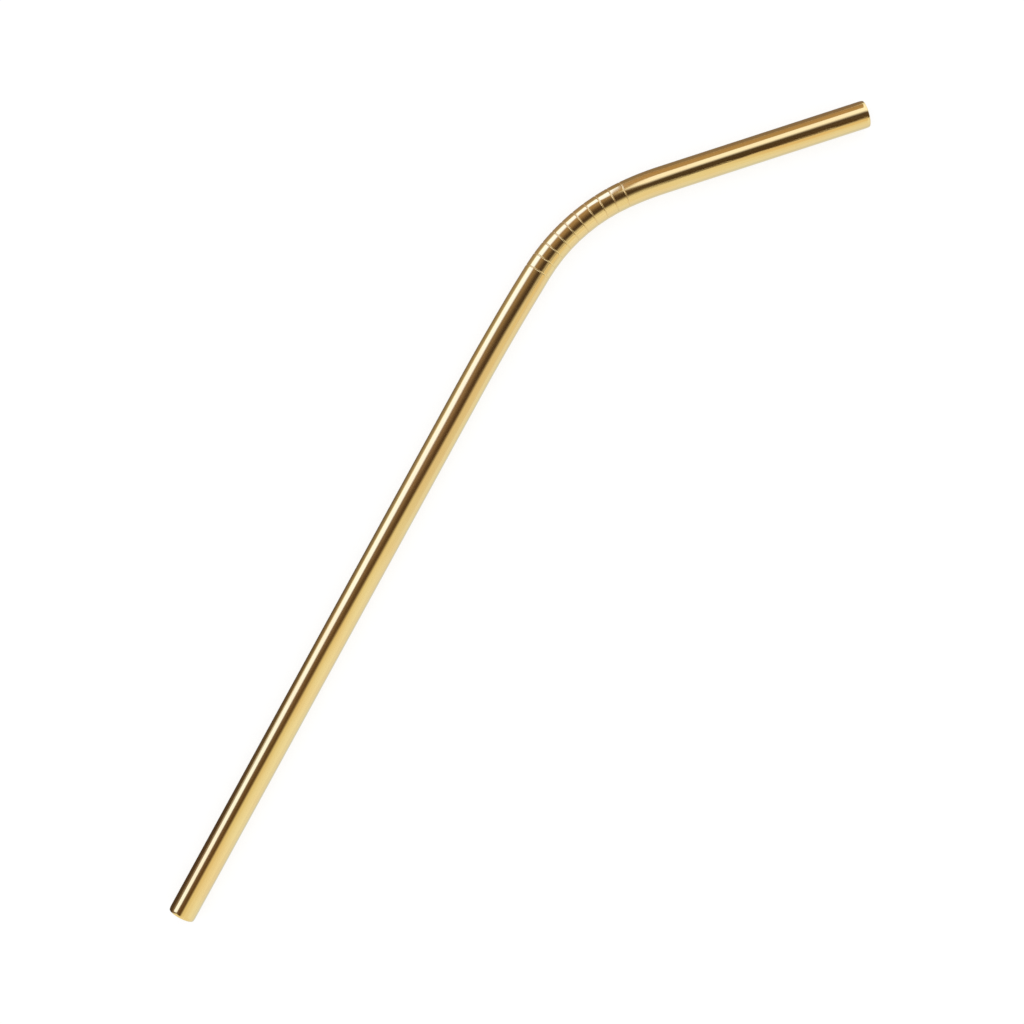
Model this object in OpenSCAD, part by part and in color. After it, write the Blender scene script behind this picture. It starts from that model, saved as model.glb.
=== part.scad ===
/* [Tube] */
// Outer diameter of the tube
tube_od = 6; // [5:0.5:12]
// Thickness of the tube's wall
wall = 0.5; // [0.3:0.05:0.8]

/* [Legs] */
// Straight length of the long lower leg, lip included
foot_leg_len = 130.6; // [60:0.1:220]
// Straight length of the short mouth leg, lip included
mouth_leg_len = 46.6; // [20:0.1:90]

/* [Bend] */
// Centreline radius of the slight curve that leads into the bend
lead_in_r = 550; // [300:10:900]
// Angle through which the lead-in turns
lead_in_angle = 3; // [1:0.1:5]
// Centreline radius of the tight, ringed part of the bend
bend_r = 44; // [30:1:90]
// Angle through which the ringed part turns
bend_angle = 33.2; // [20:0.1:50]
// Centreline radius of the curve that eases the bend into the mouth leg
lead_out_r = 70; // [50:1:150]
// Angle through which the easing curve turns
lead_out_angle = 7.1; // [2:0.1:15]

/* [Rolled rings] */
// Number of rings rolled into the tube, from one end of the ringed part to the other
ring_count = 10; // [4:1:12]
// Width of a ring's groove where it meets the tube's skin
ring_w = 0.32; // [0.2:0.02:0.6]
// Depth of a ring's groove below the tube's skin
ring_depth = 0.08; // [0.04:0.01:0.15]

/* [Lips] */
// Radius of the long curve by which polishing eases the outer edge of both ends
ease_r = 3; // [1:0.1:5]
// Share of the wall's thickness that the easing takes off before the lip's round nose
ease_share = 0.15; // [0.1:0.05:0.6]

/* [Hidden] */

$fn = 96;
// Facets that a full turn of a bend would have, since each curved stretch is a small part of one
sweep_fn = 720;
// Angle by which a curved stretch is swept too far before it is cut back
spare_angle = 1;

tube_r = tube_od / 2;
bore_r = tube_r - wall;
// The nose is a full round of the wall that the easing leaves, and the easing runs into it
// smoothly: the circles touch where the line through both of their centres leaves them
nose_r = wall * (1 - ease_share) / 2;
nose_ring_r = bore_r + nose_r;
ease_len = sqrt((2 * ease_r - wall) * (wall - 2 * nose_r));
ease_end_angle = atan2(ease_len, ease_r + nose_r - wall);
// A ring's groove has the section of a roller's rim: an arc through its width and depth
roller_r = (ring_w * ring_w / 4 + ring_depth * ring_depth) / (2 * ring_depth);
roller_ring_r = tube_r - ring_depth + roller_r;
ring_step_angle = bend_angle / (ring_count - 1);
mouth_heading = lead_in_angle + bend_angle + lead_out_angle;

// The lower leg ends and the lead-in starts at [0, 0], heading along +Y.
// A heading grows from +Y towards +X, the way that the whole bend turns.
function along(heading) = [sin(heading), cos(heading)];
function across(heading) = [cos(heading), -sin(heading)];
function turned(start, heading, r, angle) =
    start + r * (across(heading) - across(heading + angle));

bend_start = turned([0, 0], 0, lead_in_r, lead_in_angle);
bend_end = turned(bend_start, lead_in_angle, bend_r, bend_angle);
mouth_leg_start = turned(bend_end, lead_in_angle + bend_angle, lead_out_r, lead_out_angle);
mouth_nose = mouth_leg_start + (mouth_leg_len - nose_r) * along(mouth_heading);

// How far a lip reaches past its nose's height, measured at an angle to the lip's own plane
function lip_reach(angle) =
    angle > ease_end_angle
    ? nose_ring_r * cos(angle) + nose_r
    : (tube_r - ease_r) * cos(angle) - ease_len * sin(angle) + ease_r;

// Outermost reach of the straw as it lies, from which its footprint is centred on the origin
reach_min = [-tube_r, -foot_leg_len];
reach_max = mouth_nose + [lip_reach(mouth_heading), lip_reach(90 - mouth_heading)];
reach_mid = (reach_min + reach_max) / 2;

// Moves its children from the start of a curved stretch to its end
module past_turn(r, angle) {
    translate([r, 0, 0])
        rotate([0, 0, -angle])
            translate([-r, 0, 0])
                children();
}

// Section through the tube's wall, standing on the XY plane's X axis
module wall_section() {
    difference() {
        circle(r = tube_r);
        circle(r = bore_r);
    }
}

// Curved stretch of tube that starts at the origin, heading along +Y, and turns towards +X.
// It is swept a little too far and cut back to the plane on which the next stretch starts,
// so that the two meet face to face.
module curved_tube(r, angle) {
    difference() {
        translate([r, 0, 0])
            rotate_extrude(start = 180 - angle - spare_angle, angle = angle + spare_angle, $fn = sweep_fn)
                translate([r, 0])
                    wall_section();
        past_turn(r, angle)
            translate([-tube_od, 0, -tube_od])
                cube([2 * tube_od, r, 2 * tube_od]);
    }
}

// Section through the wall of a leg that ends at height len. Seen from the height of the nose's
// centre, the straight wall is cut level where the easing starts, the long curve of the easing
// follows, and the round nose closes the section.
module leg_section(len) {
    nose_height = len - nose_r;
    nose = [nose_r, 0];
    translate([0, nose_height]) {
        difference() {
            translate([0, -nose_height])
                square([wall, nose_height]);
            translate([-wall, -ease_len])
                square([3 * wall, nose_height]);
        }
        intersection() {
            translate([wall - ease_r, -ease_len])
                circle(r = ease_r);
            polygon([
                [0, -ease_len],
                [ease_r, -ease_len],
                nose + ease_r * [cos(ease_end_angle), sin(ease_end_angle)],
                nose,
                [0, 0]
            ]);
        }
        translate(nose)
            circle(r = nose_r);
    }
}

// Straight leg along +Y from the origin, with its eased and rounded lip at the far end
module leg(len) {
    rotate([-90, 0, 0])
        rotate_extrude()
            translate([bore_r, 0])
                leg_section(len);
}

// Rim of the roller that presses one ring, square to the tube's axis at the origin
module roller_rim() {
    rotate([90, 0, 0])
        rotate_extrude()
            translate([roller_ring_r, 0])
                circle(r = roller_r);
}

// Low bead that a ring leaves in the bore, since the pressed wall keeps its thickness
module ring_bead() {
    rotate([90, 0, 0])
        rotate_extrude()
            intersection() {
                translate([roller_ring_r, 0])
                    circle(r = roller_r + wall);
                translate([bore_r - ring_depth, -wall - ring_w])
                    square([ring_depth + wall / 2, 2 * (wall + ring_w)]);
            }
}

// Sets its children at each ring, evenly spread from the start of the ringed part to its end
module at_rings() {
    past_turn(lead_in_r, lead_in_angle)
        for (i = [0 : ring_count - 1])
            past_turn(bend_r, i * ring_step_angle)
                children();
}

// The bent tube with smooth walls
module bent_tube() {
    rotate([0, 0, 180])
        leg(foot_leg_len);
    curved_tube(lead_in_r, lead_in_angle);
    past_turn(lead_in_r, lead_in_angle) {
        curved_tube(bend_r, bend_angle);
        past_turn(bend_r, bend_angle) {
            curved_tube(lead_out_r, lead_out_angle);
            past_turn(lead_out_r, lead_out_angle)
                leg(mouth_leg_len);
        }
    }
}

// The straw, lying on the XY plane with its bend in that plane
module straw() {
    color([0.85, 0.69, 0.36])
        translate([-reach_mid.x, -reach_mid.y, tube_r])
            difference() {
                union() {
                    bent_tube();
                    at_rings()
                        ring_bead();
                }
                at_rings()
                    roller_rim();
            }
}

straw();
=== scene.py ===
"""A bent metal drinking straw, lying on the pale floor of a small studio.

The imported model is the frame. Its one node gives the straw's place, and a detailed tube stands
for it. Lengths are in metres and angles in radians, unless a name or a comment says otherwise.
"""

import logging
import math
from dataclasses import dataclass, field
from enum import Enum
from itertools import pairwise

import bmesh
import bpy
from mathutils import Matrix, Vector

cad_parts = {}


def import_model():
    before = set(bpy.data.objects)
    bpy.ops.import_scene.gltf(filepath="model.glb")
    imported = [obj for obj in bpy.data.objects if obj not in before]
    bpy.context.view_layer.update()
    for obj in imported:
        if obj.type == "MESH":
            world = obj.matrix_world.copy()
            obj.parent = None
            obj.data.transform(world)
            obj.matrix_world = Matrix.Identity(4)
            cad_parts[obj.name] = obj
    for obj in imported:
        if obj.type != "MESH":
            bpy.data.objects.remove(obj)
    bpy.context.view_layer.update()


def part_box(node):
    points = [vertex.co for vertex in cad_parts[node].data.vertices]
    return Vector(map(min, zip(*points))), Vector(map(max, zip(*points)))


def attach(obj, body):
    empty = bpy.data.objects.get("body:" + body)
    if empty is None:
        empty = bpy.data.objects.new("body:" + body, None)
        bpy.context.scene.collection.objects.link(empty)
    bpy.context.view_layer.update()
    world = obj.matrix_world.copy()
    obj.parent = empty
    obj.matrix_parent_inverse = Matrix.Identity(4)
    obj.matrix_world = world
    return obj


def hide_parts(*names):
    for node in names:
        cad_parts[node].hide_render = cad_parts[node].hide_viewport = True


log = logging.getLogger("straw_scene")

Colour = tuple[float, float, float]
Place = tuple[float, float, float]
Spot = tuple[float, float]
Span = tuple[float, float]
# Grains of a pattern to a metre, along each axis
Grain = tuple[float, float, float]

MM = 0.001
WHITE: Colour = (1.0, 1.0, 1.0)

# Numbers of a Mix node's two colours and of the mixed colour
MIX_FIRST, MIX_SECOND, MIX_RESULT = 6, 7, 2
# Share of a step by which a stretch may be too long before it takes one more step
STEP_SLACK = 1e-6


class Surface(Enum):
    """The two skins of the tube's wall."""

    OUTSIDE = "outside"
    BORE = "bore"


class Graph:
    """A node tree that is built node by node."""

    def __init__(self, owner: bpy.types.Material | bpy.types.World) -> None:
        """Empties the owner's node tree.

        Args:
            owner: The material or world whose nodes are to be made.
        """
        owner.use_nodes = True
        self.tree = owner.node_tree
        self.tree.nodes.clear()

    def add(self, kind: str, settings: dict | None = None, **inputs: object) -> bpy.types.Node:
        """Adds a node, sets it up and joins its inputs.

        Args:
            kind: The node's type, without the leading ShaderNode.
            settings: Values for the node's own properties.
            inputs: For each input, by its name in small letters with underscores or by i and its
                number, a socket to join or a value to set.

        Returns:
            The new node.
        """
        node = self.tree.nodes.new("ShaderNode" + kind)
        for name, value in (settings or {}).items():
            setattr(node, name, value)
        for name, value in inputs.items():
            self.feed(self.find(node, name), value)
        return node

    def feed(self, socket: bpy.types.NodeSocket, value: object) -> None:
        """Joins an input to a socket, or sets it.

        Args:
            socket: The input.
            value: The socket to join it to, or its value.
        """
        if isinstance(value, bpy.types.NodeSocket):
            self.tree.links.new(value, socket)
        else:
            socket.default_value = value

    @staticmethod
    def find(node: bpy.types.Node, name: str) -> bpy.types.NodeSocket:
        """Finds one of a node's inputs.

        Args:
            node: The node.
            name: The input's name in small letters with underscores, or i and its number.

        Returns:
            The input's socket.
        """
        if name[0] == "i" and name[1:].isdigit():
            return node.inputs[int(name[1:])]
        return next(s for s in node.inputs if s.name.lower().replace(" ", "_") == name)

    def value(self, operation: str, *terms: object) -> bpy.types.NodeSocket:
        """Adds a Math node.

        Args:
            operation: The node's operation.
            terms: Its inputs, in order.

        Returns:
            The result's socket.
        """
        inputs = {f"i{number}": term for number, term in enumerate(terms)}
        return self.add("Math", {"operation": operation}, **inputs).outputs[0]

    def attribute(self, name: str, output: str = "Fac") -> bpy.types.NodeSocket:
        """Adds a reading of one of the mesh's attributes.

        Args:
            name: The attribute.
            output: The form in which it is read.

        Returns:
            The reading's socket.
        """
        return self.add("Attribute", {"attribute_name": name}).outputs[output]

    def ramp(
        self, value: object, low: float, high: float, start: float = 0.0, end: float = 1.0
    ) -> bpy.types.NodeSocket:
        """Adds a smooth ramp from one value to another.

        Args:
            value: The socket that the ramp reads.
            low: The reading at which the ramp starts.
            high: The reading at which it ends.
            start: The result up to low.
            end: The result from high on.

        Returns:
            The result's socket.
        """
        settings = {"interpolation_type": "SMOOTHSTEP"}
        return self.add(
            "MapRange",
            settings,
            value=value,
            from_min=low,
            from_max=high,
            to_min=start,
            to_max=end,
        ).outputs[0]

    def soft_edges(
        self, place: bpy.types.NodeSocket, first: float, last: float
    ) -> bpy.types.NodeSocket:
        """Fades a value in and out at the two ends of the stretch from 0 to 1.

        Args:
            place: The socket of the place on the stretch.
            first: The share of the stretch over which the value fades in.
            last: The share over which it fades out.

        Returns:
            The result's socket.
        """
        fade_in = self.ramp(place, 0.0, first)
        fade_out = self.ramp(place, 1.0 - last, 1.0, 1.0, 0.0)
        return self.value("MULTIPLY", fade_in, fade_out)

    def noise(
        self, where: bpy.types.NodeSocket, grain: Grain, detail: float
    ) -> bpy.types.NodeSocket:
        """Adds a noise pattern whose grain may be stretched.

        Args:
            where: The coordinates that the pattern follows.
            grain: How many grains there are to a metre, along each axis.
            detail: How many finer octaves are added.

        Returns:
            The socket of the pattern's value, from 0 to 1.
        """
        mapped = self.add("Mapping", vector=where, scale=grain).outputs[0]
        return self.add("TexNoise", vector=mapped, scale=1.0, detail=detail).outputs[0]

    def blend(self, share: object, first: object, second: object) -> bpy.types.NodeSocket:
        """Adds a colour mix.

        Args:
            share: How much of the second colour is taken.
            first: The first colour or its socket.
            second: The second colour or its socket.

        Returns:
            The mixed colour's socket.
        """
        node = self.add("Mix", {"data_type": "RGBA"}, i0=share)
        for number, value in ((MIX_FIRST, first), (MIX_SECOND, second)):
            plain = not isinstance(value, bpy.types.NodeSocket)
            self.feed(node.inputs[number], (*value, 1.0) if plain else value)
        return node.outputs[MIX_RESULT]


def add_object(
    name: str, bm: bmesh.types.BMesh, material: bpy.types.Material
) -> bpy.types.Object:
    """Makes an object of the scene from a finished mesh.

    Args:
        name: The name of the object and of its mesh.
        bm: The finished mesh, which is freed.
        material: What the object is made of.

    Returns:
        The new object.
    """
    mesh = bpy.data.meshes.new(name)
    bm.to_mesh(mesh)
    bm.free()
    mesh.materials.append(material)
    made = bpy.data.objects.new(name, mesh)
    bpy.context.scene.collection.objects.link(made)
    return made


def steps(start: float, end: float, longest: float) -> list[float]:
    """Divides a stretch evenly.

    Args:
        start: Where the stretch starts.
        end: Where it ends.
        longest: The longest step that is allowed.

    Returns:
        The start and each mark between, without the end.
    """
    count = max(1, math.ceil((end - start) / longest - STEP_SLACK))
    return [start + (end - start) * number / count for number in range(count)]


@dataclass(frozen=True)
class GoldCoating:
    """The straw's finish: polished steel under a thin gold-coloured coating."""

    gold: Colour = (0.93, 0.68, 0.29)
    rosy_gold: Colour = (0.94, 0.65, 0.27)
    steel: Colour = (0.62, 0.60, 0.57)
    # Darker tints of the polishing lines and of the rings (the rings' tint is painted shade in
    # their grooves), and how much of each shows at most
    line_tint: Colour = (0.5, 0.3, 0.1)
    line_share: float = 0.06
    ring_shade_tint: Colour = (0.6, 0.36, 0.12)
    ring_shade_share: float = 0.08

    roughness: float = 0.11
    roughness_spread: float = 0.05
    # How much rougher the rings are, at their middle, than the polished skin
    ring_roughness: float = 0.3

    # Rosy clouds in the coating, which are also a little rougher
    cloud_grain: Grain = (180.0, 90.0, 180.0)
    # Polishing lines: grains to a metre across and along the tube, and how deep they are
    line_grain: Grain = (9000.0, 70.0, 9000.0)
    line_depth: float = 0.0012 * MM
    # Slow waves of the wall, left by drawing and bending the tube
    wave_grain: Grain = (260.0, 60.0, 260.0)
    wave_depth: float = 0.02 * MM

    # Readings between which the clouds, the lines and the sum of both take effect
    cloud_span: Span = (0.35, 0.7)
    line_span: Span = (0.3, 0.7)
    both_span: Span = (0.7, 1.3)

    def material(self) -> bpy.types.Material:
        """Makes the finish.

        Returns:
            The finished material.
        """
        material = bpy.data.materials.new("gold_coated_steel")
        graph = Graph(material)
        unbent = graph.attribute("unbent", "Vector")
        coating = graph.attribute("coating")
        pressed = graph.attribute("pressed")

        clouds = graph.noise(unbent, self.cloud_grain, detail=3.0)
        lines = graph.noise(unbent, self.line_grain, detail=3.0)
        waves = graph.noise(unbent, self.wave_grain, detail=1.0)

        clouded = graph.blend(graph.ramp(clouds, *self.cloud_span), self.gold, self.rosy_gold)
        line_share = graph.ramp(lines, *self.line_span, 0.0, self.line_share)
        lined = graph.blend(line_share, clouded, self.line_tint)
        # Painted shade: the rings' grooves are tinted darker, the deeper they are pressed
        ring_shade_share = graph.value("MULTIPLY", pressed, self.ring_shade_share)
        ring_shaded = graph.blend(ring_shade_share, lined, self.ring_shade_tint)
        colour = graph.blend(coating, self.steel, ring_shaded)

        low = self.roughness - self.roughness_spread / 2
        high = self.roughness + self.roughness_spread / 2
        rough = graph.ramp(graph.value("ADD", clouds, lines), *self.both_span, low, high)
        rough = graph.value("MULTIPLY_ADD", pressed, self.ring_roughness, rough)

        relief = graph.add("Bump", strength=1.0, distance=self.wave_depth, height=waves)
        fine = graph.add(
            "Bump", strength=1.0, distance=self.line_depth, height=lines, normal=relief.outputs[0]
        )
        shader = graph.add(
            "BsdfPrincipled",
            base_color=colour,
            metallic=1.0,
            roughness=rough,
            normal=fine.outputs[0],
        )
        graph.add("OutputMaterial", surface=shader.outputs[0])
        return material


@dataclass(frozen=True)
class Run:
    """A stretch of the tube's centreline: straight, or turning at a steady rate towards +X."""

    length: float
    turn: float = 0.0

    def travel(self, along: float) -> Matrix:
        """Gives the move along the first part of the run.

        Args:
            along: How far the move goes from the run's start.

        Returns:
            The move, from a frame that heads along +Y at the start.
        """
        if self.turn == 0.0:
            return Matrix.Translation((0.0, along, 0.0))
        centre = Matrix.Translation((self.length / self.turn, 0.0, 0.0))
        angle = self.turn * along / self.length
        return centre @ Matrix.Rotation(-angle, 4, "Z") @ centre.inverted()


@dataclass(frozen=True)
class Centreline:
    """The line through the middle of the tube, as a chain of runs."""

    start: Matrix
    runs: tuple[Run, ...]

    def length(self) -> float:
        """Gives the line's whole length."""
        return sum(run.length for run in self.runs)

    def frame(self, along: float) -> Matrix:
        """Gives the place and heading at a point of the line.

        Args:
            along: The point's distance from the start, measured on the line.

        Returns:
            A frame at that point, whose +Y heads along the line.
        """
        place = self.start
        for run in self.runs[:-1]:
            if along <= run.length:
                return place @ run.travel(along)
            place = place @ run.travel(run.length)
            along -= run.length
        return place @ self.runs[-1].travel(along)


@dataclass(frozen=True)
class Hoop:
    """One loop round the tube: how far along it lies, its radius, and which skin it is on."""

    along: float
    radius: float
    surface: Surface


@dataclass
class Straw:
    """The straw: one thin-walled tube with a ringed bend and an eased lip at both ends."""

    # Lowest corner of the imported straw's box, where the foot's end and the lower leg's side meet
    corner: Vector
    finish: GoldCoating = field(default_factory=GoldCoating)

    tube_r: float = 3.0 * MM
    wall: float = 0.5 * MM
    foot_leg_len: float = 130.6 * MM
    mouth_leg_len: float = 46.6 * MM

    lead_in_r: float = 550.0 * MM
    lead_in_angle: float = math.radians(3.0)
    bend_r: float = 44.0 * MM
    bend_angle: float = math.radians(33.2)
    lead_out_r: float = 70.0 * MM
    lead_out_angle: float = math.radians(7.1)

    ring_count: int = 10
    ring_w: float = 0.32 * MM
    ring_depth: float = 0.08 * MM
    # Radius of the bend close to a ring, as a share of bend_r: the wall between is straighter
    ring_tightness: float = 0.6
    # How much narrower the tube is at the middle of its bend, seen square to the bend, and how
    # far to each side of the middle that reaches, as a share of the ringed part's length
    flattening: float = 0.04
    flattening_reach: float = 0.75

    ease_r: float = 3.0 * MM
    ease_share: float = 0.15
    # How deep the coating reaches into the bore at full strength, and where it has gone
    coat_from: float = 6.0 * MM
    coat_to: float = 16.0 * MM

    # Facets round the tube, and steps of each curve of a lip and of half a ring's groove
    sides: int = 128
    curve_steps: int = 8
    # Places of the hoops on a ring's bead, as shares of half its width
    bead_shares: tuple[float, ...] = (-1.0, -0.6, 0.0, 0.6, 1.0)
    # Gap between the edge of a ring and the hoop that keeps the wall beside it smooth
    guard_gap: float = 0.03 * MM
    # Longest step between two hoops: on a leg's outside, in its bore, and on each curve
    leg_step: float = 4.0 * MM
    bore_step: float = 6.0 * MM
    lead_in_step: float = 1.0 * MM
    bend_step: float = 0.3 * MM
    lead_out_step: float = 0.5 * MM
    # Length at each end in which a narrower hoop belongs to the lip and not to a ring
    lip_zone: float = 2.0 * MM

    @property
    def bore_r(self) -> float:
        """The bore's radius."""
        return self.tube_r - self.wall

    @property
    def nose_r(self) -> float:
        """The radius of the lip's round nose."""
        return self.wall * (1.0 - self.ease_share) / 2.0

    @property
    def ease_len(self) -> float:
        """The length over which the outer edge is eased."""
        return math.sqrt((2 * self.ease_r - self.wall) * (self.wall - 2 * self.nose_r))

    @property
    def ease_end(self) -> float:
        """The angle at which the easing runs into the nose."""
        return math.atan2(self.ease_len, self.ease_r + self.nose_r - self.wall)

    @property
    def ring_step(self) -> float:
        """The angle from one ring to the next."""
        return self.bend_angle / (self.ring_count - 1)

    @property
    def roller_r(self) -> float:
        """The radius of the rim that presses a ring."""
        return (self.ring_w**2 / 4 + self.ring_depth**2) / (2 * self.ring_depth)

    def ringed_runs(self) -> list[Run]:
        """Gives the runs between the first ring and the last.

        The rings lie on the bend's circle, and the tube turns mostly close to them.

        Returns:
            The runs, in order.
        """
        near_r = self.bend_r * self.ring_tightness
        half = self.ring_step / 2
        near = Run(near_r * half, half)
        between = Run(2 * (self.bend_r - near_r) * math.sin(half))
        return [near, between, near] * (self.ring_count - 1)

    def centreline(self) -> Centreline:
        """Gives the tube's centreline, from the foot's end to the mouth's.

        Returns:
            The line, placed by the corner of the straw's box.
        """
        start = Matrix.Translation(self.corner + Vector((self.tube_r, 0.0, self.tube_r)))
        return Centreline(
            start,
            (
                Run(self.foot_leg_len),
                Run(self.lead_in_r * self.lead_in_angle, self.lead_in_angle),
                *self.ringed_runs(),
                Run(self.lead_out_r * self.lead_out_angle, self.lead_out_angle),
                Run(self.mouth_leg_len),
            ),
        )

    def pitch(self) -> float:
        """Gives the distance from one ring to the next."""
        return sum(run.length for run in self.ringed_runs()[:3])

    def bend_start(self) -> float:
        """Gives the distance of the first ring from the foot's end."""
        return self.foot_leg_len + self.lead_in_r * self.lead_in_angle

    def bend_end(self) -> float:
        """Gives the distance of the last ring from the foot's end."""
        return self.bend_start() + self.pitch() * (self.ring_count - 1)

    def skin_r(self, surface: Surface) -> float:
        """Gives the radius of one skin of the plain tube."""
        return self.tube_r if surface is Surface.OUTSIDE else self.bore_r

    def lip(self, surface: Surface) -> list[tuple[float, float]]:
        """Gives the lip's profile on one skin, from the nose's tip on.

        Args:
            surface: The skin.

        Returns:
            For each point, its depth below the lip's end and its radius.
        """
        centre = self.bore_r + self.nose_r
        count = self.curve_steps
        if surface is Surface.BORE:
            nose_angles = [math.pi * (0.5 + 0.5 * step / count) for step in range(1, count + 1)]
        else:
            sweep = math.pi / 2 - self.ease_end
            nose_angles = [math.pi / 2 - sweep * step / count for step in range(count + 1)]
        points = [
            (self.nose_r * (1 - math.sin(angle)), centre + self.nose_r * math.cos(angle))
            for angle in nose_angles
        ]
        if surface is Surface.OUTSIDE:
            for step in range(1, count + 1):
                angle = self.ease_end * (1 - step / count)
                depth = self.nose_r + self.ease_len - self.ease_r * math.sin(angle)
                points.append((depth, self.tube_r - self.ease_r * (1 - math.cos(angle))))
        return points

    def ring_radius(self, offset: float, surface: Surface) -> float:
        """Gives the tube's radius near a ring.

        Args:
            offset: The distance from the ring's middle.
            surface: The skin: the ring is a groove outside and a low bead in the bore.

        Returns:
            The radius there.
        """
        full = self.skin_r(surface)
        rim = self.roller_r if surface is Surface.OUTSIDE else self.roller_r + self.wall
        centre = self.tube_r - self.ring_depth + self.roller_r
        if abs(offset) >= rim:
            return full
        return min(full, centre - math.sqrt(rim**2 - offset**2))

    def ring_reach(self, surface: Surface) -> float:
        """Gives half the length of tube that a ring shapes.

        Args:
            surface: The skin.

        Returns:
            Half the width of the groove or bead.
        """
        if surface is Surface.OUTSIDE:
            return self.ring_w / 2
        centre = self.wall - self.ring_depth + self.roller_r
        return math.sqrt((self.roller_r + self.wall) ** 2 - centre**2)

    def marks(self, surface: Surface) -> list[float]:
        """Gives the places of the hoops between the two lips, close together at the rings.

        Args:
            surface: The skin.

        Returns:
            The distance of each hoop from the foot's end, in order.
        """
        outside = surface is Surface.OUTSIDE
        leg_step = self.leg_step if outside else self.bore_step
        lip_depth = self.lip(surface)[-1][0]
        mouth_leg = self.bend_end() + self.lead_out_r * self.lead_out_angle
        mouth_lip = mouth_leg + self.mouth_leg_len - lip_depth
        reach = self.ring_reach(surface)
        guard = reach + self.guard_gap
        count = self.curve_steps
        shares = [step / count for step in range(-count, count + 1)]
        if not outside:
            shares = self.bead_shares

        marks: list[float] = []
        marks += steps(lip_depth, self.foot_leg_len, leg_step)
        marks += steps(self.foot_leg_len, self.bend_start() - guard, self.lead_in_step)
        for ring in range(self.ring_count):
            middle = self.bend_start() + ring * self.pitch()
            marks.append(middle - guard)
            marks += [middle + reach * share for share in shares]
            marks.append(middle + guard)
            if ring < self.ring_count - 1:
                following = middle + self.pitch() - guard
                marks += steps(middle + guard, following, self.bend_step)[1:]
        marks += steps(self.bend_end() + guard, mouth_leg, self.lead_out_step)[1:]
        marks += steps(mouth_leg, mouth_lip, leg_step)
        marks.append(mouth_lip)
        return marks

    def body_hoops(self, surface: Surface) -> list[Hoop]:
        """Gives the hoops between the two lips, from the foot to the mouth.

        Args:
            surface: The skin.

        Returns:
            The hoops, in order.
        """
        guard = self.ring_reach(surface) + self.guard_gap
        hoops = []
        for along in self.marks(surface):
            place = (along - self.bend_start()) / self.pitch()
            nearest = min(max(round(place), 0), self.ring_count - 1)
            offset = along - self.bend_start() - nearest * self.pitch()
            near = abs(offset) < guard
            radius = self.ring_radius(offset, surface) if near else self.skin_r(surface)
            hoops.append(Hoop(along, radius, surface))
        return hoops

    def hoops(self) -> list[Hoop]:
        """Gives all the tube's hoops: outside from foot to mouth, and back through the bore.

        Returns:
            The hoops of a closed skin, in order.
        """
        end = self.centreline().length()
        outer_lip = self.lip(Surface.OUTSIDE)
        inner_lip = self.lip(Surface.BORE)
        return [
            *(Hoop(depth, radius, Surface.OUTSIDE) for depth, radius in outer_lip[:-1]),
            *self.body_hoops(Surface.OUTSIDE),
            *(Hoop(end - depth, radius, Surface.OUTSIDE) for depth, radius in outer_lip[-2::-1]),
            *(Hoop(end - depth, radius, Surface.BORE) for depth, radius in inner_lip[:-1]),
            *reversed(self.body_hoops(Surface.BORE)),
            *(Hoop(depth, radius, Surface.BORE) for depth, radius in inner_lip[-2::-1]),
        ]

    def section(self, hoop: Hoop) -> Vector:
        """Gives the size of the tube's section at a hoop.

        Args:
            hoop: The hoop.

        Returns:
            Its half width in the plane of the bend, 1, and its half height.
        """
        middle = (self.bend_start() + self.bend_end()) / 2
        reach = self.flattening_reach * (self.bend_end() - self.bend_start())
        share = max(0.0, 1 - ((hoop.along - middle) / reach) ** 2) ** 2
        return Vector((hoop.radius * (1 - self.flattening * share), 1.0, hoop.radius))

    def from_end(self, hoop: Hoop) -> float:
        """Gives a hoop's distance from the nearer end of the tube."""
        return min(hoop.along, self.centreline().length() - hoop.along)

    def coated(self, hoop: Hoop) -> float:
        """Gives how much of the coating there is at a hoop.

        Args:
            hoop: The hoop.

        Returns:
            A share from 0, bare steel, to 1.
        """
        if hoop.surface is Surface.OUTSIDE:
            return 1.0
        share = (self.coat_to - self.from_end(hoop)) / (self.coat_to - self.coat_from)
        return min(1.0, max(0.0, share))

    def pressed(self, hoop: Hoop) -> float:
        """Gives how far a ring has pressed the tube in at a hoop.

        Args:
            hoop: The hoop.

        Returns:
            A share of the ring's depth.
        """
        if self.from_end(hoop) < self.lip_zone:
            return 0.0
        return (self.skin_r(hoop.surface) - hoop.radius) / self.ring_depth

    def skin(self) -> bmesh.types.BMesh:
        """Draws the tube's skin with a circle that goes along the centreline, hoop by hoop.

        Returns:
            The closed mesh, in place.
        """
        line = self.centreline()
        hoops = self.hoops()
        bm = bmesh.new()
        unbent = bm.verts.layers.float_vector.new("unbent")
        coating = bm.verts.layers.float.new("coating")
        pressed = bm.verts.layers.float.new("pressed")

        def shape(hoop: Hoop) -> Matrix:
            """Gives the move from a unit circle round +Y to the hoop."""
            return line.frame(hoop.along) @ Matrix.Diagonal(self.section(hoop)).to_4x4()

        def mark(hoop: Hoop, verts: list[bmesh.types.BMVert]) -> None:
            """Writes a hoop's place on the unbent tube, its coating and its pressing.

            Args:
                hoop: The hoop.
                verts: The vertices on it.
            """
            back = line.frame(hoop.along).inverted()
            coating_share, pressed_share = self.coated(hoop), self.pressed(hoop)
            for vert in verts:
                vert[unbent] = back @ vert.co + Vector((0.0, hoop.along, 0.0))
                vert[coating] = coating_share
                vert[pressed] = pressed_share

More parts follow.
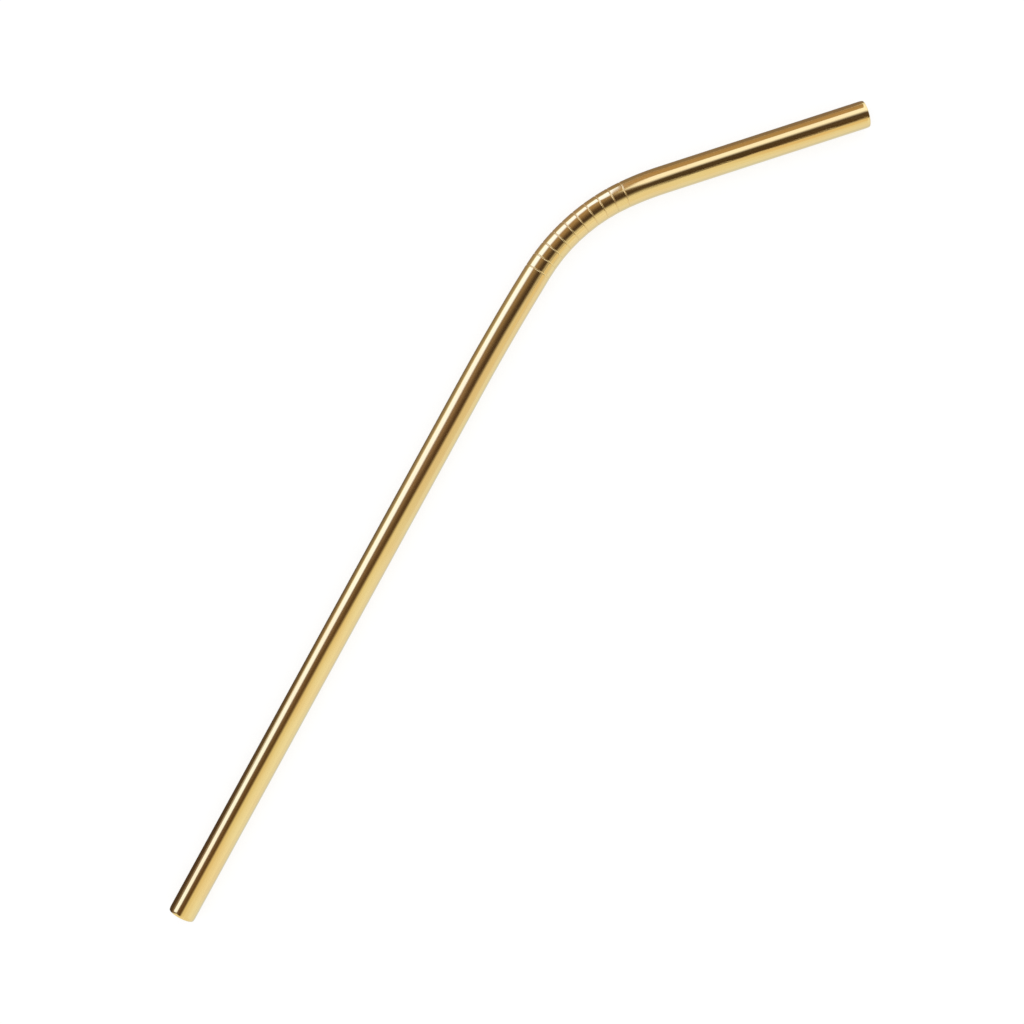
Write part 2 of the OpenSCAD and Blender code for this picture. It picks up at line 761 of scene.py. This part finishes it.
        upright = Matrix.Rotation(math.pi / 2, 4, "X")
        bmesh.ops.create_circle(
            bm, segments=self.sides, radius=1.0, matrix=shape(hoops[0]) @ upright
        )
        mark(hoops[0], bm.verts[:])
        first = bm.edges[:]
        edge = first
        for last, hoop in pairwise(hoops):
            grown = bmesh.ops.extrude_edge_only(bm, edges=edge)["geom"]
            verts = [part for part in grown if isinstance(part, bmesh.types.BMVert)]
            edge = [
                part
                for part in grown
                if isinstance(part, bmesh.types.BMEdge) and part.is_boundary
            ]
            move = shape(hoop) @ shape(last).inverted()
            bmesh.ops.transform(bm, matrix=move, verts=verts)
            mark(hoop, verts)
        bmesh.ops.bridge_loops(bm, edges=first + edge)
        bmesh.ops.recalc_face_normals(bm, faces=bm.faces[:])
        for face in bm.faces:
            face.smooth = True
        return bm

    def build(self) -> bpy.types.Object:
        """Builds and dresses the straw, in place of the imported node.

        Returns:
            The straw's object.
        """
        tube = add_object("straw_tube", self.skin(), self.finish.material())
        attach(tube, "root")
        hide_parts("straw")
        log.info("%s: %d faces", tube.name, len(tube.data.polygons))
        return tube


@dataclass(frozen=True)
class Rib:
    """One line across a card: its left and right end, and the light that it gives off there.

    Places are in millimetres in the picture's frame: x to the right, y up the picture, z up.
    """

    left: Place
    right: Place
    left_glow: Colour
    right_glow: Colour

    @classmethod
    def level(
        cls, height: float, left: Spot, right: Spot, glow: Colour, right_glow: Colour | None = None
    ) -> "Rib":
        """Gives a rib whose ends are at one height.

        Args:
            height: The height of both ends.
            left: The left end, seen from above.
            right: The right end, seen from above.
            glow: The light of the left end, and of both where right_glow isn't given.
            right_glow: The light of the right end.

        Returns:
            The rib.
        """
        return cls((*left, height), (*right, height), glow, right_glow or glow)


def wall_ribs(left: Spot, right: Spot, *levels: tuple) -> tuple[Rib, ...]:
    """Gives the ribs of an upright wall.

    Args:
        left: Where the wall's left edge stands, seen from above.
        right: Where its right edge stands.
        levels: For each rib, its height and its light, or the lights of its left and right end.

    Returns:
        The ribs, from the lowest to the highest.
    """
    return tuple(Rib.level(height, left, right, *glows) for height, *glows in levels)


@dataclass(frozen=True)
class Card:
    """A card or a softbox that only shows as a reflection in the metal: a painted reflection,
    which lights nothing.
    """

    name: str
    ribs: tuple[Rib, ...]
    # How far each edge fades, as a share of the card: left, right, first rib, last rib
    fade: tuple[float, float, float, float]
    # Where the light of the left end starts to turn into that of the right end, and is done
    turn: Span = (0.0, 1.0)
    # Cuts across each span between two ribs, so that slanting ribs and fading edges stay smooth
    cuts: int = 7

    def material(self) -> bpy.types.Material:
        """Makes the card's glowing face with its soft edges.

        Returns:
            The material.
        """
        material = bpy.data.materials.new(self.name)
        graph = Graph(material)
        across, along = graph.attribute("across"), graph.attribute("along")
        glow = graph.blend(
            graph.ramp(across, *self.turn),
            graph.attribute("left_glow", "Color"),
            graph.attribute("right_glow", "Color"),
        )
        light = graph.add("Emission", color=glow).outputs[0]
        left, right, first, last = self.fade
        cover = graph.value(
            "MULTIPLY",
            graph.soft_edges(across, left, right),
            graph.soft_edges(along, first, last),
        )
        clear = graph.add("BsdfTransparent").outputs[0]
        mixed = graph.add("MixShader", i0=cover, i1=clear, i2=light).outputs[0]
        graph.add("OutputMaterial", surface=mixed)
        return material

    def build(self, turned: Matrix) -> bpy.types.Object:
        """Builds the card by stretching a grid from rib to rib.

        Args:
            turned: The move from the picture's frame to the row's.

        Returns:
            The card's object, hidden from the camera, from diffuse light and from shadows.
        """
        bm = bmesh.new()
        across = bm.verts.layers.float.new("across")
        along = bm.verts.layers.float.new("along")
        left_glow = bm.verts.layers.float_color.new("left_glow")
        right_glow = bm.verts.layers.float_color.new("right_glow")
        spans = len(self.ribs) - 1
        half = 0.5
        bmesh.ops.create_grid(bm, x_segments=1, y_segments=spans, size=half)
        for vert in bm.verts:
            vert[across] = vert.co.x + half
            vert[along] = vert.co.y + half
            rib = self.ribs[round(vert[along] * spans)]
            vert[left_glow] = (*rib.left_glow, 1.0)
            vert[right_glow] = (*rib.right_glow, 1.0)
            vert.co = Vector(rib.left if vert[across] < half else rib.right) * MM
        bmesh.ops.subdivide_edges(bm, edges=bm.edges[:], cuts=self.cuts, use_grid_fill=True)
        bmesh.ops.transform(bm, matrix=turned, verts=bm.verts[:])
        card = add_object(self.name, bm, self.material())
        card.visible_camera = False
        card.visible_diffuse = False
        card.visible_shadow = False
        log.info("%s: %d ribs", card.name, len(self.ribs))
        return card


# Glows of the cards. The softboxes' whites are bluish so that the painted highlights in the gold
# come out cream
SOFT_WHITE: Colour = (1.13, 1.40, 2.3)
COOL_WHITE: Colour = (1.15, 1.52, 3.0)
STRIP_WHITE: Colour = (1.12, 1.25, 1.65)
# Painted shadow: the grey of the shaded floor beside the straw, as the metal sees it
SHADOW_GREY: Colour = (0.72, 0.84, 1.02)
DARK_BROWN: Colour = (0.15, 0.10, 0.06)
PALE_TAN: Colour = (0.80, 0.70, 0.50)
CREAM: Colour = (0.87, 0.88, 0.78)

# Heights in millimetres: of the hood and the card beside it, of the strip softbox, and of what
# lies on the floor
HOOD_HEIGHT = 60
STRIP_HEIGHT = 390
ON_FLOOR = 0.3

# Large softbox far to the left, which the lower leg and the bend reflect
MAIN_SOFTBOX = Card(
    name="main_softbox",
    ribs=(
        Rib((-2736, 92, 180), (-693, 2135, 10), SOFT_WHITE, COOL_WHITE),
        Rib((-2736, 92, 3100), (-693, 2135, 3100), SOFT_WHITE, COOL_WHITE),
    ),
    fade=(0.02, 0.01, 0.03, 0.04),
)

# Low brown sill in front of the softbox, which the foot reflects
BROWN_SILL = Card(
    name="brown_sill",
    ribs=(
        Rib((-690, -120, 0), (-570, 240, 0), (0.20, 0.15, 0.12), (0.26, 0.21, 0.18)),
        Rib((-690, -120, 300), (-570, 240, 95), (0.22, 0.17, 0.14), (0.26, 0.21, 0.18)),
    ),
    fade=(0.02, 0.5, 0.01, 0.4),
)

# Brown wall beside the softbox, which only the foot's lip reflects
FOOT_WALL = Card(
    name="foot_wall",
    ribs=wall_ribs((-2700, -460), (-2740, 100), (0, DARK_BROWN), (3100, DARK_BROWN)),
    fade=(0.3, 0.02, 0.01, 0.1),
)

# Beige wall to the right of the straw, which its middle and the bend reflect
BEIGE_WALL = Card(
    name="beige_wall",
    ribs=wall_ribs(
        (1932, -518),
        (1640, -1140),
        (0, (0.79, 0.81, 0.86)),
        (900, (0.77, 0.77, 0.70)),
        (4500, (0.74, 0.67, 0.54)),
    ),
    fade=(0.3, 0.3, 0.01, 0.1),
)

# Wall of a warmer white beside the beige one, which the bend and the mouth leg reflect
WARM_WALL = Card(
    name="warm_wall",
    ribs=wall_ribs(
        (1330, -1494),
        (484, -1940),
        (0, (0.86, 0.91, 0.88), (0.86, 0.90, 0.86)),
        (900, (0.86, 0.90, 0.85), (0.86, 0.90, 0.84)),
        (2500, (0.84, 0.85, 0.76), (0.84, 0.84, 0.74)),
    ),
    fade=(0.25, 0.2, 0.01, 0.4),
)

# Softbox over the mouth leg
STRIP_SOFTBOX = Card(
    name="strip_softbox",
    ribs=(
        Rib.level(STRIP_HEIGHT, (38, 60), (340, 60), STRIP_WHITE),
        Rib.level(STRIP_HEIGHT, (-80, 490), (340, 800), STRIP_WHITE),
    ),
    fade=(0.04, 0.02, 0.02, 0.1),
)

# Brown wall behind the strip softbox
BROWN_WALL = Card(
    name="brown_wall",
    ribs=wall_ribs(
        (-627, 1900),
        (230, 1900),
        (0, (0.37, 0.27, 0.19)),
        (700, (0.47, 0.34, 0.20)),
        (2700, (0.40, 0.32, 0.21)),
    ),
    fade=(0.02, 0.05, 0.01, 0.05),
)

# Softbox beside the brown wall, which only the mouth's lip and the rings reflect
LIP_SOFTBOX = Card(
    name="lip_softbox",
    ribs=wall_ribs((230, 1900), (1700, 1100), (0, STRIP_WHITE), (2700, STRIP_WHITE)),
    fade=(0.02, 0.3, 0.01, 0.1),
)

# Dark hood that hangs close over the straw, on the camera's side, follows it and reaches past
# its mouth, where it comes down to the floor. Seen only in the metal, it paints the dark band of
# reflection along the tube
DARK_HOOD = Card(
    name="dark_hood",
    ribs=(
        Rib.level(HOOD_HEIGHT, (-139, -97), (-83, -121), (0.14, 0.09, 0.06), (0.11, 0.06, 0.02)),
        Rib.level(HOOD_HEIGHT, (-106, -5), (-27, -43), (0.20, 0.14, 0.10), (0.11, 0.07, 0.04)),
        Rib.level(HOOD_HEIGHT, (-71, 54), (29, 0), (0.26, 0.19, 0.15), (0.08, 0.05, 0.035)),
        Rib.level(HOOD_HEIGHT, (-66, 83), (43, 17), (0.27, 0.20, 0.14), (0.065, 0.045, 0.035)),
        Rib.level(HOOD_HEIGHT, (-41, 115), (61, 29), (0.36, 0.26, 0.17), (0.065, 0.045, 0.035)),
        Rib.level(HOOD_HEIGHT, (-44, 179), (68, 25), (0.42, 0.32, 0.21), (0.055, 0.035, 0.025)),
        Rib.level(HOOD_HEIGHT, (29, 91), (62, 13), (0.07, 0.05, 0.03), (0.05, 0.033, 0.02)),
        Rib.level(HOOD_HEIGHT, (35, 98), (67, 28), (0.07, 0.05, 0.03), (0.06, 0.04, 0.025)),
        Rib.level(HOOD_HEIGHT, (52, 106), (83, 28), (0.07, 0.05, 0.03), (0.07, 0.045, 0.025)),
        Rib.level(HOOD_HEIGHT, (101, 123), (135, 30), (0.09, 0.06, 0.045), (0.09, 0.06, 0.03)),
        Rib.level(HOOD_HEIGHT, (184, 153), (223, 50), (0.09, 0.06, 0.045), (0.09, 0.06, 0.03)),
        Rib.level(5, (270, 190), (300, 72), (0.09, 0.06, 0.045), (0.09, 0.06, 0.03)),
    ),
    fade=(0.27, 0.27, 0.01, 0.01),
    turn=(0.33, 0.67),
)

# Warm card beyond the hood's right edge, which only the mouth leg reflects
WARM_CARD = Card(
    name="warm_card",
    ribs=(
        Rib.level(HOOD_HEIGHT, (47, 50), (130, -90), PALE_TAN, CREAM),
        Rib.level(HOOD_HEIGHT, (120, 60), (214, -70), PALE_TAN, CREAM),
    ),
    fade=(0.1, 0.5, 0.4, 0.05),
    turn=(0.2, 0.9),
)

# Grey strip on the floor along the straw's right side. Seen only in the metal, it paints the
# floor's shadow beside the straw into the reflection on its right rim
FLOOR_SHADOW_STRIP = Card(
    name="floor_strip",
    ribs=(
        Rib.level(ON_FLOOR, (-73.5, -97.6), (-68.0, -100.6), SHADOW_GREY),
        Rib.level(ON_FLOOR, (-44.7, -45.0), (-39.2, -48.0), SHADOW_GREY),
        Rib.level(ON_FLOOR, (-6.3, 25.2), (-0.8, 22.2), SHADOW_GREY),
        Rib.level(ON_FLOOR, (8.1, 49.9), (13.4, 46.7), SHADOW_GREY),
        Rib.level(ON_FLOOR, (16.6, 59.8), (20.6, 55.1), SHADOW_GREY),
        Rib.level(ON_FLOOR, (28.1, 66.0), (30.2, 60.1), SHADOW_GREY),
        Rib.level(ON_FLOOR, (87.9, 85.5), (89.8, 79.6), SHADOW_GREY),
    ),
    fade=(0.1, 0.6, 0.01, 0.01),
)

# Brown flag on the floor, close to the straw's left side. Seen only in the metal, it paints the
# dark brown reflection along the straw's left rim
FLOOR_FLAG = Card(
    name="floor_flag",
    ribs=(
        Rib.level(ON_FLOOR, (-690, -120), (-79, -93), (0.15, 0.10, 0.08), (0.08, 0.055, 0.04)),
        Rib.level(ON_FLOOR, (-640, 85), (-65, -68), (0.15, 0.11, 0.09), (0.08, 0.055, 0.045)),
        Rib.level(ON_FLOOR, (-120, 15), (-43, -28.5), (0.32, 0.26, 0.21), (0.14, 0.11, 0.08)),
        Rib.level(ON_FLOOR, (-80, 43), (-21.5, 11), (0.37, 0.33, 0.30), (0.20, 0.17, 0.13)),
        Rib.level(ON_FLOOR, (-62, 80), (-5.5, 42), (0.40, 0.36, 0.30), (0.26, 0.22, 0.16)),
        Rib.level(ON_FLOOR, (-40, 102), (6.4, 57.6), (0.42, 0.36, 0.33), (0.33, 0.27, 0.22)),
        Rib.level(ON_FLOOR, (-25, 140), (15.7, 65.7), (0.42, 0.36, 0.32), (0.33, 0.26, 0.21)),
        Rib.level(ON_FLOOR, (-60, 330), (26.8, 72.4), (0.34, 0.27, 0.21), (0.28, 0.23, 0.19)),
        Rib.level(ON_FLOOR, (-60, 480), (49.5, 80.4), (0.31, 0.22, 0.16), (0.26, 0.21, 0.18)),
        Rib.level(ON_FLOOR, (30, 600), (81, 91), (0.29, 0.21, 0.16), (0.24, 0.20, 0.18)),
    ),
    fade=(0.1, 0.002, 0.01, 0.01),
    turn=(0.75, 1.0),
)

CARDS = (
    MAIN_SOFTBOX,
    BROWN_SILL,
    BEIGE_WALL,
    WARM_WALL,
    FOOT_WALL,
    STRIP_SOFTBOX,
    BROWN_WALL,
    LIP_SOFTBOX,
    DARK_HOOD,
    WARM_CARD,
    FLOOR_FLAG,
    FLOOR_SHADOW_STRIP,
)


@dataclass
class Studio:
    """The floor, the light round the straw and the camera above it."""

    # Where the camera stands and how the picture is turned
    eye: Vector = field(default_factory=lambda: Vector((-2.01 * MM, -1.7 * MM, 405.0 * MM)))
    turn: float = math.radians(28.72)
    # The lens's focal length and the width of the film behind it, in millimetres
    lens: float = 65.2
    film_width: float = 36.0
    clip_start: float = 0.01

    floor_size: float = 12.0
    # The floor's paper: its grey, how much that varies, its grain and the readings between which
    # the grain takes effect
    floor_grey: float = 0.25
    floor_grey_spread: float = 0.01
    floor_grain: Grain = (400.0, 400.0, 400.0)
    floor_span: Span = (0.2, 0.8)
    floor_glow: float = 0.79

    # Painted reflections: colours in which the floor's glow, the walls and the ceiling, with the
    # spot straight above, show in the metal, where the camera and diffuse light see plain white
    floor_in_metal: Colour = (0.76, 0.87, 1.01)
    walls_in_metal: Colour = (0.91, 1.00, 1.07)
    ceiling_in_metal: Colour = (0.87, 0.90, 0.81)
    zenith_in_metal: Colour = (0.79, 0.76, 0.57)
    # How high, as the sine of the angle above the floor, the ceiling's colour starts to take
    # over from the walls', and the zenith's from the ceiling's
    ceiling_from: float = 0.1
    zenith_from: float = 0.75

    def turned(self) -> Matrix:
        """Gives the move from the picture's frame, on the floor, to the row's."""
        ground = Vector((self.eye.x, self.eye.y, 0.0))
        return Matrix.Translation(ground) @ Matrix.Rotation(self.turn, 4, "Z")

    def floor_material(self) -> bpy.types.Material:
        """Makes the floor's paper, which shows white but keeps the straw's soft shadow.

        Returns:
            The material.
        """
        material = bpy.data.materials.new("pale_floor")
        graph = Graph(material)
        path = graph.add("LightPath").outputs
        seen = graph.value("MAXIMUM", path["Is Camera Ray"], path["Is Glossy Ray"])
        seen = graph.value("MAXIMUM", seen, path["Is Transmission Ray"])
        place = graph.add("TexCoord").outputs["Object"]
        grain = graph.noise(place, self.floor_grain, detail=3.0)
        low = self.floor_grey - self.floor_grey_spread / 2
        high = self.floor_grey + self.floor_grey_spread / 2
        grey = graph.ramp(grain, *self.floor_span, low, high)
        colour = graph.add("CombineColor", i0=grey, i1=grey, i2=grey).outputs[0]
        paper = graph.add("BsdfDiffuse", color=colour)
        # Painted reflection: the metal sees the floor's glow in a cooler colour than the camera
        # does
        white = graph.blend(path["Is Glossy Ray"], WHITE, self.floor_in_metal)
        strength = graph.value("MULTIPLY", seen, self.floor_glow)
        glow = graph.add("Emission", color=white, strength=strength)
        both = graph.add("AddShader", i0=paper.outputs[0], i1=glow.outputs[0])
        graph.add("OutputMaterial", surface=both.outputs[0])
        return material

    def build_floor(self) -> None:
        """Lays the floor."""
        bm = bmesh.new()
        bmesh.ops.create_grid(bm, x_segments=1, y_segments=1, size=self.floor_size / 2)
        add_object("floor", bm, self.floor_material())
        log.info("floor: %.0f m across", self.floor_size)

    def build_room(self) -> None:
        """Makes the plain white light of the room, which the metal sees as a painted reflection:
        cooler near the horizon, warmer and darker towards the zenith.
        """
        world = bpy.data.worlds.new("room")
        bpy.context.scene.world = world
        graph = Graph(world)
        glossy = graph.add("LightPath").outputs["Is Glossy Ray"]
        direction = graph.add("TexCoord").outputs["Generated"]
        height = graph.add("SeparateXYZ", vector=direction).outputs[2]
        to_ceiling = graph.ramp(height, self.ceiling_from, 1.0)
        in_metal = graph.blend(to_ceiling, self.walls_in_metal, self.ceiling_in_metal)
        to_zenith = graph.ramp(height, self.zenith_from, 1.0)
        in_metal = graph.blend(to_zenith, in_metal, self.zenith_in_metal)
        colour = graph.blend(glossy, WHITE, in_metal)
        light = graph.add("Background", color=colour, strength=1.0)
        graph.add("OutputWorld", surface=light.outputs[0])

    def build_camera(self) -> None:
        """Hangs the camera over the straw, looking straight down."""
        data = bpy.data.cameras.new("camera")
        data.lens = self.lens
        data.sensor_width = self.film_width
        data.clip_start = self.clip_start
        camera = bpy.data.objects.new("camera", data)
        camera.location = self.eye
        camera.rotation_euler = (0.0, 0.0, self.turn)
        bpy.context.scene.collection.objects.link(camera)
        bpy.context.scene.camera = camera
        log.info("camera: %.0f mm above the floor", self.eye.z / MM)

    def build(self) -> None:
        """Builds the whole studio."""
        bpy.context.scene.view_settings.view_transform = "Standard"
        self.build_floor()
        self.build_room()
        for card in CARDS:
            card.build(self.turned())
        self.build_camera()


def main() -> None:
    """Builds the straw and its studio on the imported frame."""
    logging.basicConfig(level=logging.INFO, format="%(name)s: %(message)s")
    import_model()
    corner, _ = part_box("straw")
    Straw(corner).build()
    Studio().build()


if __name__ == "__main__":
    main()
